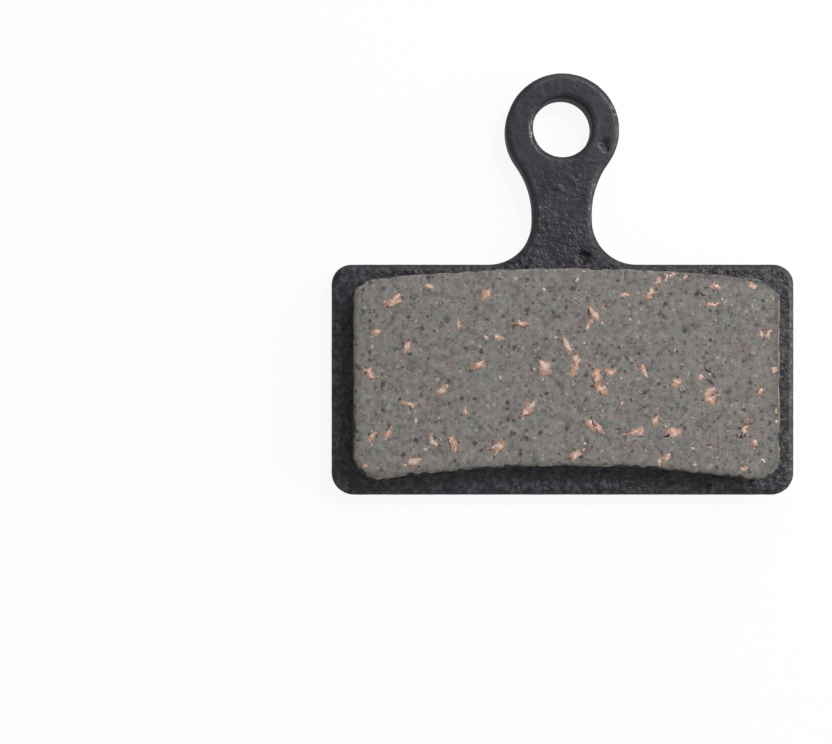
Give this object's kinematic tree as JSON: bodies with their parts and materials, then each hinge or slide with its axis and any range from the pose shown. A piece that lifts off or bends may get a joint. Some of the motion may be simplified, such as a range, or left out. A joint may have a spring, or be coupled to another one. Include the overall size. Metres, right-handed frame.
{
  "type": "bicycle disc brake pad",
  "caption": "Disc brake pad: flat stamped backing plate with a waisted neck and round pin eye, and a moulded friction block keyed into the plate by plugs that end below its back face.",
  "frame": {"origin": "middle of the backing plate's back face, where the brake piston pushes", "axes": "+X along the pad's width, +Y from the plate towards the pin eye, +Z out of the friction face towards the rotor; the pad lies on its back"},
  "size_m": [0.029, 0.0264, 0.004],
  "materials": {
    "black_coat": "satin",
    "friction_compound": "matte"
  },
  "bodies": {
    "root": {"backing_plate": "black_coat", "friction_block": "friction_compound"}
  },
  "joints": []
}
